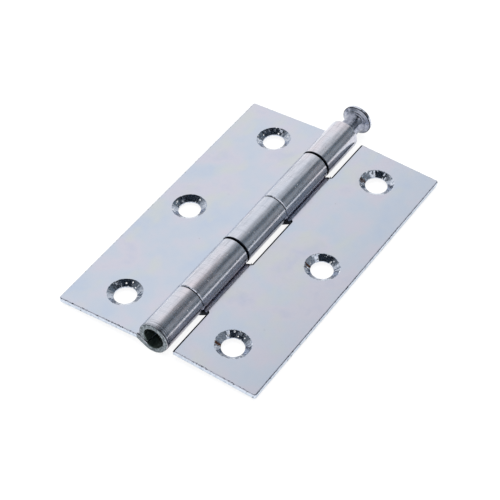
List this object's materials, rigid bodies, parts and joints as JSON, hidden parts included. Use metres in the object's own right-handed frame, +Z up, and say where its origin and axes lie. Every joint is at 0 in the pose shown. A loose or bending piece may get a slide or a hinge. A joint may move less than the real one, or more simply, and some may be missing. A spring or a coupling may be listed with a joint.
{
  "type": "loose pin butt hinge",
  "caption": "Flat butt hinge of plated sheet steel, rolled knuckles on a headed lift-out pin, staggered countersunk screw holes.",
  "frame": {"origin": "on the table under the pin's axis, midway along the whole hinge", "axes": "+Y along the pin towards its head, +Z up off the table, the three-knuckle leaf on the -X side"},
  "size_m": [0.0498, 0.0826, 0.008],
  "materials": {
    "plated_leaf": "bright zinc plated sheet steel, satin",
    "plated_pin": "bright zinc plated turned steel, duller than the leaves"
  },
  "bodies": {
    "three_knuckle_leaf": {"three_knuckle_leaf": "plated_leaf"},
    "two_knuckle_leaf": {"two_knuckle_leaf": "plated_leaf"},
    "loose_pin": {"loose_pin": "plated_pin"}
  },
  "joints": [
    {"name": "leaf_swing", "type": "hinge", "parent": "three_knuckle_leaf", "child": "two_knuckle_leaf", "pos_m": [0, 0, 0.00431], "axis": [0, 1, 0], "range_deg": [-190, 114]},
    {"name": "pin_draw", "type": "slide", "parent": "three_knuckle_leaf", "child": "loose_pin", "axis": [0, 1, 0], "range_m": [-0.0038, 0.08]}
  ]
}
